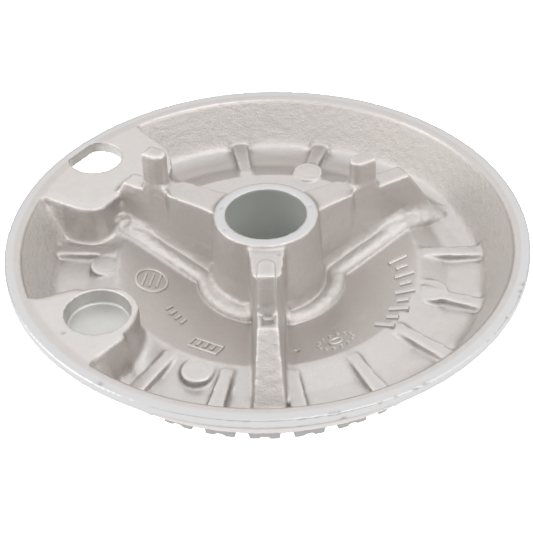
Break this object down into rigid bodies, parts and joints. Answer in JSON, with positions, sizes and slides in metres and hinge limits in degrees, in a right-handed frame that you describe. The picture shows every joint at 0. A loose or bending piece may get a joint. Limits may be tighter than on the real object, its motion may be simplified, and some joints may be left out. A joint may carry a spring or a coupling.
{
  "type": "gas hob burner head",
  "caption": "Gas hob burner head shown underside up: ribbed cast bowl with gas bore and locating posts, castellated flame ring and lift-off cap.",
  "frame": {"origin": "centre of the rim seat, on the axis of the gas bore", "axes": "+Z out of the underside, away from the cap, along the bore; -Y towards the front rib; the part is modelled underside up, as it is shown"},
  "size_m": [0.13, 0.13, 0.0373],
  "materials": {
    "cast_aluminium": "die cast, tumbled, with a machined rim band",
    "ring_aluminium": "die cast, matt",
    "screw_steel": "zinc plated",
    "cap_enamel": "satin black enamel"
  },
  "bodies": {
    "head": {"head_casting": "cast_aluminium", "flame_ring": "ring_aluminium", "ring_screws": "screw_steel"},
    "cap": {"burner_cap": "cap_enamel"}
  },
  "joints": [
    {"name": "cap_lift", "type": "slide", "parent": "head", "child": "cap", "axis": [0, 0, -1], "range_m": [0, 0.03]}
  ]
}
